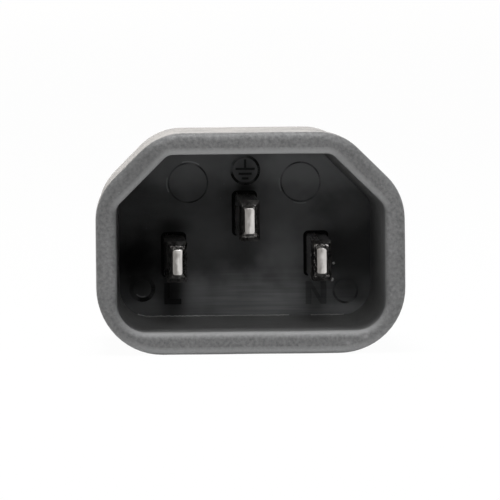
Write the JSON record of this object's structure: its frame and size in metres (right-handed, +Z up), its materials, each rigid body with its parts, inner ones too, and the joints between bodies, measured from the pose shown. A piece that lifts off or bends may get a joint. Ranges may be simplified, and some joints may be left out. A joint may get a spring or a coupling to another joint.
{
  "type": "power cord adapter",
  "caption": "Moulded plug end of a power cord adapter: chamfered open shroud round flat contact pins, ribbed grip flanks and a tapered tail with the cord entry.",
  "frame": {"origin": "middle of the bounding box's footprint, on the flat underside that the plug lies on", "axes": "+Y from the open rim to the cord entry, +Z up towards the chamfered side, +X to the right as seen from the rim"},
  "size_m": [0.0298, 0.044, 0.0213],
  "materials": {
    "soft_pvc": "fine matt moulded",
    "bridge_plastic": "satin moulded",
    "core_plastic": "plain moulded",
    "plated_brass": "bright nickel plated"
  },
  "bodies": {
    "root": {"outer_mould": "soft_pvc", "pin_bridge": "bridge_plastic", "inner_mould": "core_plastic", "line_pin": "plated_brass", "neutral_pin": "plated_brass", "earth_pin": "plated_brass"}
  },
  "joints": []
}
